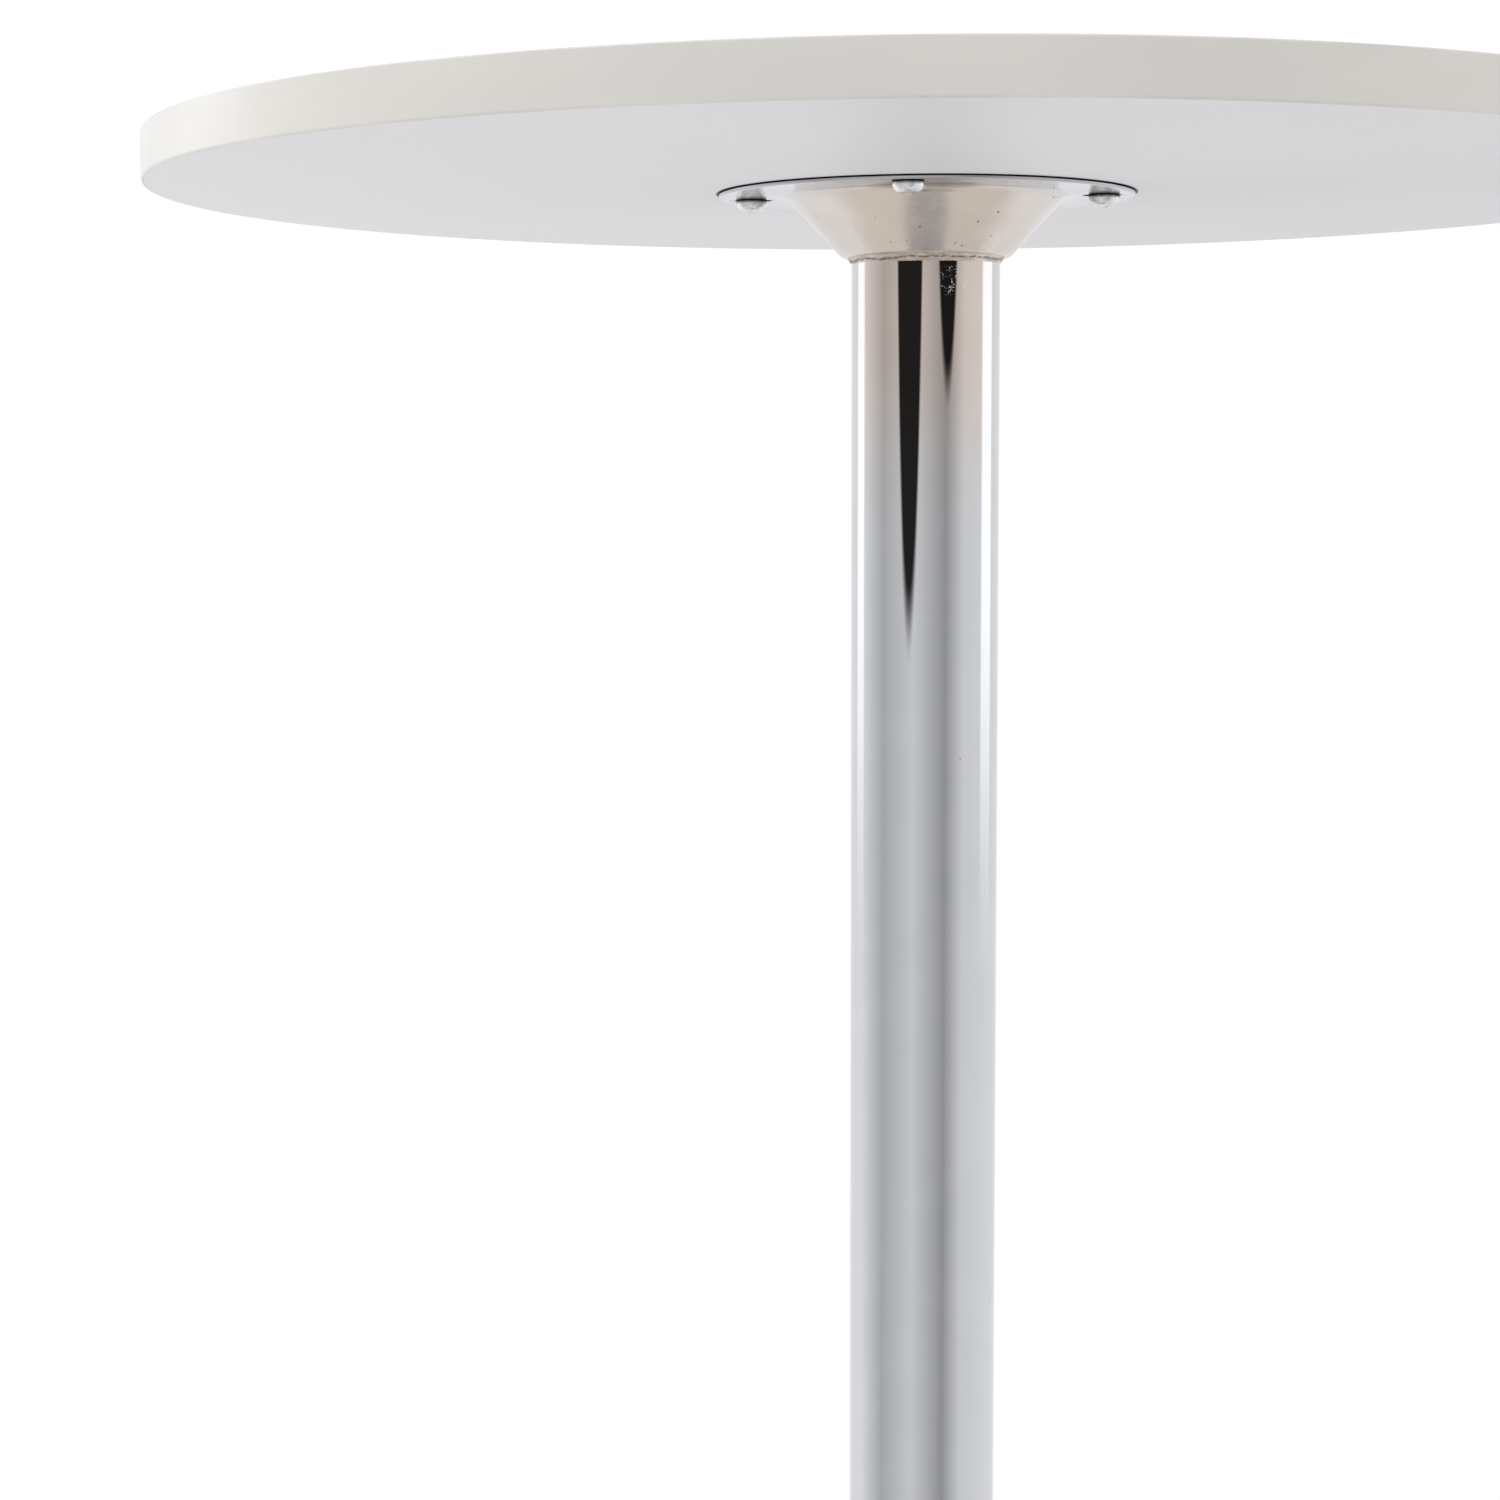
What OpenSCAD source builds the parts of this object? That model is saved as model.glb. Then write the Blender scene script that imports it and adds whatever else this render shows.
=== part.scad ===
// Bar-height bistro table: round laminated top on a chromed pole with a trumpet base.
// Origin: centre of the footprint on the floor. +Z is up, and the front is -Y.

/* [Table] */
// Height of the tabletop's upper face above the floor
table_h = 1050; // [720:5:1100]

/* [Tabletop] */
// Outside diameter of the tabletop, edge band included
top_d = 600; // [500:10:800]
// Overall thickness of the tabletop
top_t = 18; // [18:1:28]
// Thickness of the edge band
band_t = 1; // [1:0.5:2]
// Thickness of the laminate on each face
laminate_t = 0.5; // [0.4:0.1:0.8]

/* [Pole] */
// Outside diameter of the pole
pole_d = 58; // [54:1:60]
// Wall thickness of the pole
pole_wall = 1.5; // [1.2:0.1:2.5]

/* [Top flange] */
// Outside diameter of the flange
flange_d = 162; // [160:1:180]
// Sheet thickness of the flange
flange_t = 1.5; // [1.2:0.1:2]
// Depth of the cone's lower rim below the tabletop
cone_depth = 24.8; // [22:0.1:25]
// Half angle of the cone, from the vertical
cone_angle = 43.3; // [40:0.1:44]
// Pitch circle of the flange screws
screw_pcd = 138; // [137:1:142]
// Turn of the screw pattern about the pole
screw_turn = -8; // [-45:1:45]
// Length of each radial slot in the flange
slot_len = 15; // [12:0.5:15]

/* [Base] */
// Outside diameter of the base shell
base_d = 430; // [420:5:460]
// Height of the shell's centre above the floor
base_h = 85; // [78:1:110]
// Sheet thickness of the base shell
shell_t = 1.2; // [1:0.1:1.5]
// Diameter of the cast ballast
ballast_d = 380; // [370:5:390]

/* [Levelling glides] */
// Pitch circle of the four glides
glide_pcd = 330; // [300:5:340]
// Travel of each glide
glide_travel = 10; // [6:1:10]

/* [Hidden] */
$fn = 96;
eps = 0.5;                  // overshoot of a cut past a face

// Tabletop
top_r = top_d / 2;
core_r = top_r - band_t;
underside_z = table_h - top_t;
band_round = 0.8;           // radius along the band's two outer edges

// Flange screws, M6 with a pan head
screw_r = 2.9;
screw_len = 14;
head_r = 6;
head_h = 4.6;
head_round = 2.6;
recess_w = 1.3;             // width of each arm of the cross recess
recess_len = 6.4;
recess_depth = 2.6;
insert_r = 5;
insert_len = 13;
insert_bore_r = 3;
insert_chamfer = 0.6;

// Flange and cone
flange_r = flange_d / 2;
flange_face_z = underside_z - flange_t;
slot_w = 7;
slot_pcd = screw_pcd - 1.5; // the slots sit a little inside the screws
bend_r = 8;                 // radius of the bend from flat ring to cone
bend_turn = 90 - cone_angle;
cone_gap = 3.7;             // the cone's outer face at its lower rim, beyond the pole
cone_rim_r = pole_d / 2 + cone_gap;
cone_rim_z = underside_z - cone_depth;
bend_end_z = flange_face_z - bend_r * (1 - cos(bend_turn));
bend_end_r = cone_rim_r + (bend_end_z - cone_rim_z) * tan(cone_angle);
bend_centre = [bend_end_r + bend_r * sin(bend_turn), flange_face_z - bend_r];
weld_h = 2.8;
weld_r = cone_rim_r - 0.3;

// Pole
pole_r = pole_d / 2;
pole_bore_r = pole_r - pole_wall;
pole_top_z = underside_z - 12;
gasket_t = 2;
gasket_r = pole_r + 2;
gasket_hole_r = 7;
pole_z = base_h + gasket_t;
plug_t = 8;
plug_weld_leg = 3;

// Centre bolt, M12
bolt_r = 5.9;
bolt_hole_r = 6.5;
bolt_thread_r = 6;
bolt_head_af = 19;
bolt_head_h = 7.5;
bolt_tip = 0.5;             // how far short of the plug's top the bolt ends
washer_t = 3;
washer_r = 20;
spring_t = 2.5;
spring_r = 10.5;
spring_bore_r = 6.2;
spring_gap = 2;

// Ballast
ballast_r = ballast_d / 2;
ballast_z = 12;
ballast_t = 10;
ballast_round = 2;
boss_r = 40;
boss_z = 34;
counterbore_r = 30;
clamp_z = 20;               // roof of the counterbore, where the clamp washer bears
spacer_r = 21.2;
spacer_bore_r = 18.7;

// Base shell: flat land, small round, trumpet curve, shoulder and upright rim
shell_r = base_d / 2;
shell_rim_z = 6;
land_r = pole_r + 4;
land_round = 6;
land_turn = 40;             // slope of the trumpet curve where it leaves the land
shoulder_round = 10;
shoulder_z = 34;
curve_r = shell_r - shoulder_round;
neck = [land_r + land_round * sin(land_turn), base_h - land_round * (1 - cos(land_turn))];
curve_drop = neck.y - shoulder_z;
curve_run = curve_r - neck.x;
curve_power = tan(land_turn) * curve_run / curve_drop;
trim_lap = 1.4;
trim_z = 4;
trim_top_z = 13;
trim_round = 1;

// Levelling glides, M8 with a pitch of 1.25
glide_hole_r = 7;
bush_flange_r = 9.5;
bush_flange_t = 2;
stem_r = 3.95;
stem_bore_r = 4;
stem_top_z = ballast_z + ballast_t + glide_travel;
hex_af = 13;
hex_z = 8;
foot_r = 6;
foot_z = 3;
foot_t = 3.6;
neck_r = 4;
socket_clear = 0.05;
lip_clear = 0.3;
pad_r = 18;
pad_top_r = 14;
pad_h = 7.7;
pad_round = 1.5;

// Points along an arc about a centre, from angle a0 to a1
function arc(centre, r, a0, a1, steps = 12) =
    [for (i = [0:steps]) centre + r * [cos(a0 + (a1 - a0) * i / steps), sin(a0 + (a1 - a0) * i / steps)]];

// Trumpet curve of the base: height, slope and a point on it set in by a thickness
function curve_z(r) = shoulder_z + curve_drop * pow((curve_r - r) / curve_run, curve_power);
function curve_slope(r) = -curve_power * curve_drop / curve_run * pow((curve_r - r) / curve_run, curve_power - 1);
function curve_point(r, inset) =
    [r, curve_z(r)] + inset * [curve_slope(r), -1] / sqrt(1 + pow(curve_slope(r), 2));
function trumpet(inset, steps = 20) =
    [for (i = [1:steps - 1]) curve_point(neck.x + curve_run * i / steps, inset)];

module tube(r, bore_r, z0, z1) {
    translate([0, 0, z0])
        difference() {
            cylinder(r = r, h = z1 - z0);
            translate([0, 0, -eps])
                cylinder(r = bore_r, h = z1 - z0 + 2 * eps);
        }
}

module disc(r, z0, z1) {
    translate([0, 0, z0])
        cylinder(r = r, h = z1 - z0);
}

// Hexagonal bar of a given width across flats, its lower corners turned off
module hex_head(af, z0, z1) {
    corner_r = af / sqrt(3);
    intersection() {
        translate([0, 0, z0])
            cylinder(r = corner_r, h = z1 - z0, $fn = 6);
        rotate_extrude()
            polygon([[0, z0], [af / 2 - 0.2, z0], [corner_r + 0.1, z0 + 1.2], [corner_r + 0.1, z1], [0, z1]]);
    }
}

module at_screws() {
    for (i = [0:3])
        rotate(screw_turn + 90 * i)
            translate([screw_pcd / 2, 0, 0])
                children();
}

module at_glide(i) {
    rotate(45 + 90 * i)
        translate([glide_pcd / 2, 0, 0])
            children();
}

// ---- Tabletop ----

module top_core() {
    color("burlywood")
        difference() {
            disc(core_r, underside_z + laminate_t, table_h - laminate_t);
            at_screws()
                disc(insert_r, underside_z, underside_z + insert_len);
        }
}

module top_laminate() {
    color("white")
        disc(core_r, table_h - laminate_t, table_h);
}

module underside_laminate() {
    color("whitesmoke")
        difference() {
            disc(core_r, underside_z, underside_z + laminate_t);
            at_screws()
                disc(insert_r, underside_z - eps, underside_z + laminate_t + eps);
        }
}

module edge_band() {
    corner_r = top_r - band_round;
    color("ivory")
        rotate_extrude()
            polygon(concat(
                [[core_r, underside_z]],
                arc([corner_r, underside_z + band_round], band_round, -90, 0, 6),
                arc([corner_r, table_h - band_round], band_round, 0, 90, 6),
                [[core_r, table_h]]
            ));
}

module threaded_inserts() {
    color("goldenrod")
        at_screws()
            rotate_extrude()
                polygon([
                    [insert_bore_r, underside_z],
                    [insert_r, underside_z],
                    [insert_r, underside_z + insert_len - insert_chamfer],
                    [insert_r - insert_chamfer, underside_z + insert_len],
                    [insert_bore_r, underside_z + insert_len]
                ]);
}

// ---- Flange ----

// The pressing's section: the inner face is the outer one set in by the sheet's thickness
module flange_section() {
    inner_rim_r = cone_rim_r - flange_t / cos(cone_angle);
    polygon(concat(
        [[flange_r, underside_z], [flange_r, flange_face_z]],
        arc(bend_centre, bend_r, 90, 90 + bend_turn),
        [[cone_rim_r, cone_rim_z], [inner_rim_r, cone_rim_z]],
        arc(bend_centre, bend_r + flange_t, 90 + bend_turn, 90)
    ));
}

module radial_slot() {
    half = (slot_len - slot_w) / 2;
    translate([slot_pcd / 2, 0, flange_face_z - eps]) {
        for (side = [-1, 1])
            translate([side * half, 0, 0])
                cylinder(r = slot_w / 2, h = flange_t + 2 * eps);
        translate([-half, -slot_w / 2, 0])
            cube([2 * half, slot_w, flange_t + 2 * eps]);
    }
}

module top_flange() {
    color("silver")
        difference() {
            rotate_extrude()
                flange_section();
            for (i = [0:3])
                rotate(screw_turn + 90 * i)
                    radial_slot();
        }
}

// Pan head screw, head down, seated on the flange's lower face
module flange_screw() {
    difference() {
        union() {
            disc(screw_r, flange_face_z - 1, flange_face_z + screw_len);
            rotate_extrude()
                polygon(concat(
                    [[0, flange_face_z], [0, flange_face_z - head_h]],
                    arc([head_r - head_round, flange_face_z - head_h + head_round], head_round, -90, 0, 8),
                    [[head_r, flange_face_z]]
                ));
        }
        for (turn = [0, 90])
            rotate(turn)
                translate([-recess_len / 2, -recess_w / 2, flange_face_z - head_h - eps])
                    cube([recess_len, recess_w, recess_depth + eps]);
    }
}

module flange_screws() {
    color("lightgray")
        at_screws()
            flange_screw();
}

module flange_weld() {
    color("rosybrown")
        rotate_extrude()
            polygon(concat(
                [[pole_r, cone_rim_z - weld_h], [pole_r, cone_rim_z]],
                [[weld_r, cone_rim_z]],
                [[weld_r - 0.2, cone_rim_z - 0.4 * weld_h], [pole_r + 0.9, cone_rim_z - 0.9 * weld_h]]
            ));
}

// ---- Pole ----

module pole() {
    color("silver")
        tube(pole_r, pole_bore_r, pole_z, pole_top_z);
}

module pole_plug() {
    color("dimgray")
        tube(pole_bore_r, bolt_thread_r, pole_z, pole_z + plug_t);
}

module plug_weld() {
    weld_z = pole_z + plug_t;
    color("dimgray")
        rotate_extrude()
            polygon([
                [pole_bore_r - plug_weld_leg, weld_z],
                [pole_bore_r, weld_z],
                [pole_bore_r, weld_z + plug_weld_leg]
            ]);
}

module neck_gasket() {
    color("black")
        tube(gasket_r, gasket_hole_r, base_h, pole_z);
}

// ---- Base ----

// One face of the shell, from the land to the rim, set in from the outer face
function shell_face(inset) = concat(
    arc([land_r, base_h - land_round], land_round - inset, 90, 90 - land_turn, 6),
    trumpet(inset),
    arc([curve_r, shoulder_z - shoulder_round], shoulder_round - inset, 90, 0, 10),
    [[shell_r - inset, shell_rim_z]]
);

function reversed(points) = [for (i = [len(points) - 1:-1:0]) points[i]];

module base_shell() {
    color("silver")
        rotate_extrude()
            polygon(concat(
                [[bolt_hole_r, base_h]],
                shell_face(0),
                reversed(shell_face(shell_t)),
                [[bolt_hole_r, base_h - shell_t]]
            ));
}

module rim_trim() {
    outer_r = shell_r + trim_lap;
    inner_r = shell_r - shell_t - trim_lap;
    color("black")
        rotate_extrude()
            polygon(concat(
                arc([inner_r + trim_round, trim_z + trim_round], trim_round, 180, 270, 6),
                arc([outer_r - trim_round, trim_z + trim_round], trim_round, 270, 360, 6),
                [[outer_r, trim_top_z], [shell_r, trim_top_z], [shell_r, shell_rim_z]],
                [[shell_r - shell_t, shell_rim_z], [shell_r - shell_t, trim_top_z], [inner_r, trim_top_z]]
            ));
}

module spacer_tube() {
    color("dimgray")
        tube(spacer_r, spacer_bore_r, boss_z, base_h - shell_t);
}

// Cast disc with a raised boss, a counterbore under the boss and a hole for each glide
module ballast() {
    top_z = ballast_z + ballast_t;
    edge_r = ballast_r - ballast_round;
    color("darkslategray")
        difference() {
            rotate_extrude()
                polygon(concat(
                    [[bolt_hole_r, clamp_z], [counterbore_r, clamp_z], [counterbore_r, ballast_z]],
                    arc([edge_r, ballast_z + ballast_round], ballast_round, -90, 0, 6),
                    arc([edge_r, top_z - ballast_round], ballast_round, 0, 90, 6),
                    [[boss_r + 4, top_z], [boss_r, top_z + 4], [boss_r, boss_z], [bolt_hole_r, boss_z]]
                ));
            for (i = [0:3])
                at_glide(i) {
                    disc(glide_hole_r, ballast_z - eps, top_z + eps);
                    disc(bush_flange_r, ballast_z - eps, ballast_z + bush_flange_t);
                }
        }
}

module clamp_washer() {
    color("lightgray")
        tube(washer_r, bolt_hole_r, clamp_z - washer_t, clamp_z);
}

module spring_washer() {
    top_z = clamp_z - washer_t;
    color("gray")
        difference() {
            tube(spring_r, spring_bore_r, top_z - spring_t, top_z);
            translate([0, -spring_gap / 2, top_z - spring_t - eps])
                cube([spring_r + eps, spring_gap, spring_t + 2 * eps]);
        }
}

module centre_bolt() {
    seat_z = clamp_z - washer_t - spring_t;
    color("lightgray") {
        hex_head(bolt_head_af, seat_z - bolt_head_h, seat_z);
        disc(bolt_r, seat_z - 1, pole_z + plug_t - bolt_tip);
    }
}

// ---- Levelling glides ----

module glide_bushes() {
    color("goldenrod")
        for (i = [0:3])
            at_glide(i)
                rotate_extrude()
                    polygon([
                        [stem_bore_r, ballast_z],
                        [bush_flange_r, ballast_z],
                        [bush_flange_r, ballast_z + bush_flange_t],
                        [glide_hole_r, ballast_z + bush_flange_t],
                        [glide_hole_r, ballast_z + ballast_t],
                        [stem_bore_r, ballast_z + ballast_t]
                    ]);
}

// Pad with a snap-in socket that the stem's foot turns in
module glide_pad(i) {
    socket_r = foot_r + socket_clear;
    lip_r = neck_r + lip_clear;
    lip_z = foot_z + foot_t + lip_clear;
    color("black")
        at_glide(i)
            rotate_extrude()
                polygon(concat(
                    [[0, 0]],
                    arc([pad_r - pad_round, pad_round], pad_round, -90, 0, 6),
                    [[pad_r, 3.2], [pad_top_r, pad_h], [lip_r, pad_h]],
                    [[lip_r, lip_z], [socket_r, lip_z], [socket_r, foot_z], [0, foot_z]]
                ));
}

module glide_stem(i) {
    color("lightgray")
        at_glide(i) {
            disc(foot_r, foot_z, foot_z + foot_t);
            disc(neck_r, foot_z + 1, hex_z + 1);
            hex_head(hex_af, hex_z, ballast_z);
            disc(stem_r, ballast_z - 1, stem_top_z);
        }
}

top_core();
top_laminate();
underside_laminate();
edge_band();
threaded_inserts();
top_flange();
flange_screws();
flange_weld();
pole();
pole_plug();
plug_weld();
neck_gasket();
base_shell();
rim_trim();
spacer_tube();
ballast();
clamp_washer();
spring_washer();
centre_bolt();
glide_bushes();
glide_pad(0);  // glide_pad_1
glide_pad(1);  // glide_pad_2
glide_pad(2);  // glide_pad_3
glide_pad(3);  // glide_pad_4
glide_stem(0);  // glide_stem_1
glide_stem(1);  // glide_stem_2
glide_stem(2);  // glide_stem_3
glide_stem(3);  // glide_stem_4
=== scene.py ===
"""Looks of the bar-height bistro table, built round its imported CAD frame. Lengths are in metres."""

import math

import bmesh
import bpy
from mathutils import Matrix, Vector, noise


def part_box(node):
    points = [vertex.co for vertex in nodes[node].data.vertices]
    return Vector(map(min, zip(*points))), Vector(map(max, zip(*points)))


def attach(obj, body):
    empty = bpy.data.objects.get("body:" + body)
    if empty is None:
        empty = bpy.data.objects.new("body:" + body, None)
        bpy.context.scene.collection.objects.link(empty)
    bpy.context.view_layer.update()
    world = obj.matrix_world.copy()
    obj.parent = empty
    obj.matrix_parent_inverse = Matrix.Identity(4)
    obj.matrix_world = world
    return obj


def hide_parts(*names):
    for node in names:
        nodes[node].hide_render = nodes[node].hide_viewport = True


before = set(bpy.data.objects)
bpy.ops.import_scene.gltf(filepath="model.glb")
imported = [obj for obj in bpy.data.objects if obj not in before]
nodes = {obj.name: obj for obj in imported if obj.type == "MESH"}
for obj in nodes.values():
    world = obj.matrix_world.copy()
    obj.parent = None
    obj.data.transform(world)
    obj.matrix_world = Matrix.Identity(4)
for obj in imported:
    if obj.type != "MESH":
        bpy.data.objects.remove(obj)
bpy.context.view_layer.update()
MM = 0.001

# ---- Sizes read from the frame ----

top_low, top_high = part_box("edge_band")
TOP_R = round(top_high.x, 4)
TOP_Z = top_high.z
UNDERSIDE_Z = top_low.z
BAND_T = TOP_R - round(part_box("top_laminate")[1].x, 4)
LAMINATE_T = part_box("top_laminate")[1].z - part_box("top_laminate")[0].z
POLE_R = round(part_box("pole")[1].x, 4)
POLE_Z, POLE_TOP_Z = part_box("pole")[0].z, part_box("pole")[1].z
FLANGE_R = round(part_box("top_flange")[1].x, 4)
CONE_RIM_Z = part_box("top_flange")[0].z
GASKET_R = round(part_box("neck_gasket")[1].x, 4)
BASE_R = round(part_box("base_shell")[1].x, 4)
BASE_RIM_Z, BASE_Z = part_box("base_shell")[0].z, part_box("base_shell")[1].z
TRIM_R = round(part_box("rim_trim")[1].x, 4)
TRIM_Z, TRIM_TOP_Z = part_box("rim_trim")[0].z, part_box("rim_trim")[1].z
SCREW_TIP_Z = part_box("flange_screws")[1].z
SCREW_HEAD_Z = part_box("flange_screws")[0].z

# Sizes that no box gives: the cone's lower rim and slope, and the circle that the screws stand on
CONE_RIM_R = POLE_R + 3.7 * MM
CONE_ANGLE = 43.3
CONE_SLOPE = math.tan(math.radians(CONE_ANGLE))
SCREW_R = 69 * MM
SCREW_TURN = -8

# ---- Camera, at the photograph's viewing angle ----

# Metres from the table's axis and below the tabletop, then degrees, then millimetres
CAMERA_RIGHT, CAMERA_BACK, CAMERA_DROP = -0.0491, -1.1145, 0.1011
CAMERA_YAW, CAMERA_TILT, CAMERA_ROLL = 1.28, -4.75, -0.1
CAMERA_LENS, CAMERA_SENSOR = 67.7, 36
CAMERA_SHIFT = (0.0084, -0.0408)

camera_data = bpy.data.cameras.new("camera")
camera = bpy.data.objects.new("camera", camera_data)
bpy.context.scene.collection.objects.link(camera)
bpy.context.scene.camera = camera
camera.location = (CAMERA_RIGHT, CAMERA_BACK, UNDERSIDE_Z - CAMERA_DROP)
yaw, pitch, roll = (math.radians(a) for a in (CAMERA_YAW, 90 + CAMERA_TILT, CAMERA_ROLL))
aim = Matrix.Rotation(yaw, 3, "Z") @ Matrix.Rotation(pitch, 3, "X") @ Matrix.Rotation(roll, 3, "Z")
camera.rotation_euler = aim.to_euler()
camera_data.sensor_width = CAMERA_SENSOR
camera_data.lens = CAMERA_LENS
camera_data.shift_x, camera_data.shift_y = CAMERA_SHIFT

bpy.context.scene.view_settings.view_transform = "Standard"


# ---- Node helpers ----

class Tree:
    """Short calls that add shader nodes to a node tree and return their output sockets."""

    def __init__(self, tree):
        self.tree = tree

    def node(self, kind, inputs=None, **settings):
        made = self.tree.nodes.new(kind)
        for key, value in settings.items():
            setattr(made, key, value)
        for key, value in (inputs or {}).items():
            self.feed(made.inputs[key], value)
        return made

    def feed(self, socket, value):
        if isinstance(value, bpy.types.NodeSocket):
            self.tree.links.new(value, socket)
        else:
            socket.default_value = value

    def math(self, operation, a, b=0.0, c=0.0):
        return self.node("ShaderNodeMath", {0: a, 1: b, 2: c}, operation=operation).outputs[0]

    def length(self, a, b):
        """Length of the flat vector with parts a and b."""
        return self.math("SQRT", self.math("ADD", self.math("MULTIPLY", a, a), self.math("MULTIPLY", b, b)))

    def distance(self, a, b):
        return self.node("ShaderNodeVectorMath", {0: a, 1: b}, operation="DISTANCE").outputs[1]

    def part(self, vector, axis):
        return self.node("ShaderNodeSeparateXYZ", {0: vector}).outputs[axis]

    def step(self, value, low, high, to_low=0.0, to_high=1.0):
        """Smooth step from to_low at low to to_high at high."""
        made = self.node("ShaderNodeMapRange", {0: value, 1: low, 2: high, 3: to_low, 4: to_high})
        made.interpolation_type = "SMOOTHSTEP"
        return made.outputs[0]

    def window(self, value, low, high, soft):
        """1 between low and high and 0 outside, with edges as wide as twice soft."""
        rise = self.step(value, low - soft, low + soft)
        fall = self.step(value, high - soft, high + soft, 1.0, 0.0)
        return self.math("MULTIPLY", rise, fall)

    def mix(self, factor, a, b, blend="MIX"):
        made = self.node("ShaderNodeMix", data_type="RGBA", blend_type=blend)
        self.feed(made.inputs["Factor"], factor)
        self.feed(made.inputs["A"], a)
        self.feed(made.inputs["B"], b)
        return made.outputs["Result"]

    def ramp(self, factor, stops):
        """Ramp through (position, grey) stops, which are in order."""
        made = self.node("ShaderNodeValToRGB", {0: factor})
        band = made.color_ramp
        while len(band.elements) < len(stops):
            band.elements.new(0.5)
        for element, (position, grey) in zip(band.elements, stops):
            element.position = position
            element.color = (grey, grey, grey, 1)
        return made.outputs[0]

    def noise(self, vector, scale, detail=2.0, roughness=0.5, distortion=0.0):
        made = self.node("ShaderNodeTexNoise", {"Vector": vector, "Scale": scale, "Detail": detail})
        made.inputs["Roughness"].default_value = roughness
        made.inputs["Distortion"].default_value = distortion
        return made.outputs[0]

    def stretch(self, vector, scale):
        return self.node("ShaderNodeMapping", {"Vector": vector, "Scale": scale}).outputs[0]

    def bump(self, height, distance, normal=None):
        made = self.node("ShaderNodeBump", {"Height": height, "Distance": distance, "Strength": 1.0})
        if normal is not None:
            self.feed(made.inputs["Normal"], normal)
        return made.outputs[0]


def linear(level):
    """Scene-linear value of a display level from 0 to 1."""
    return ((level + 0.055) / 1.055) ** 2.4 if level > 0.04045 else level / 12.92


def material(name):
    made = bpy.data.materials.new(name)
    made.use_nodes = True
    made.node_tree.nodes.clear()
    t = Tree(made.node_tree)
    shader = t.node("ShaderNodeBsdfPrincipled")
    out = t.node("ShaderNodeOutputMaterial")
    made.node_tree.links.new(shader.outputs[0], out.inputs["Surface"])
    place = t.node("ShaderNodeTexCoord").outputs["Object"]
    return made, t, shader, place


def radius_of(t, place):
    """Distance of the shaded point from the table's axis."""
    return t.length(t.part(place, 0), t.part(place, 1))


def height_of(t, place):
    return t.part(place, 2)


def pits(t, place, scale, channel, chosen, size):
    """Sparse round pits, each in a cell of its own. chosen and size are soft limits, of cells and radii."""
    cells = t.node("ShaderNodeTexVoronoi", {"Vector": place, "Scale": scale})
    pitted = t.step(t.part(cells.outputs["Color"], channel), *chosen)
    return t.math("MULTIPLY", t.step(cells.outputs["Distance"], *size, 1.0, 0.0), pitted)


def dress(t, shader, colour, rough, normal, metallic=0.0):
    t.feed(shader.inputs["Base Color"], colour)
    t.feed(shader.inputs["Metallic"], metallic)
    t.feed(shader.inputs["Roughness"], rough)
    t.feed(shader.inputs["Normal"], normal)


# ---- Materials ----

# The share of what it mirrors that the pole's plate gives back
CHROME_LEVEL = 0.66
# Pits and spatter on the front of the cone, in millimetres: across, below the tabletop, size and grey
CONE_MARKS = [
    (-4.1, 15.8, 0.7, 0.10), (-9.0, 20.6, 0.4, 0.15), (17.9, 13.8, 1.0, 0.30), (23.5, 18.5, 0.5, 0.14),
    (-21.0, 12.2, 0.4, 0.25), (9.5, 21.4, 0.5, 0.12), (12.2, 22.3, 0.6, 0.10), (-14.8, 21.0, 0.4, 0.16),
]
SCUFF_PLACE = (0.0088, -0.0276, UNDERSIDE_Z - 0.0350)

# Where wear, dirt and painted shade fade, in metres: from the scuff's place, from a screw's axis (painted
# shade), beyond the flange's rim (painted shade), under the board (painted shade), inside the band's two
# edges, and out from the laminate
SCUFF_FADE = (0.0040, 0.0075)
HEAD_SHADE_FADE = (0.0058, 0.0100)
CREVICE_FADE = (0.0006, 0.0013)
GAP_FADE = (0.0006, 0.0005)
RUB_FADE = (0.0012, 0.0002)
GLUE_FADE = (0.0002, 0.00045)
# Radii over which the flange's plain ring turns to the tinted cone, and the painted shade at the rim starts
CONE_START, RIM_START = (0.062, 0.052), (0.075, 0.076)
# Height of the weld's dark hollow, and half its width
HOLLOW_Z, HOLLOW_HALF = UNDERSIDE_Z - 0.0247, 0.0004

# Colours of wear and dirt, and of painted shade
SCUFFED = (0.85, 0.83, 0.80, 1)
PLATE_PIT, PRESSED_PIT = (0.25, 0.24, 0.23, 1), (0.10, 0.08, 0.07, 1)
# Painted shade round the screws' seats and on their heads, then in the gap at the flange's rim and in the
# crevice under it
HEAD_SHADE, SCREW_SHADE = (0.075, 0.078, 0.06, 1), (0.05, 0.05, 0.04, 1)
GAP_SHADE, CREVICE_SHADE = (0.01, 0.01, 0.014, 1), (0.02, 0.02, 0.03, 1)
RUBBED, GLUE = (0.62, 0.61, 0.58, 1), (0.42, 0.42, 0.42, 1)
# Darker colour of the weld's hollow and of its specks
WELD_DARK = (0.16, 0.125, 0.11, 1)


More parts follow.
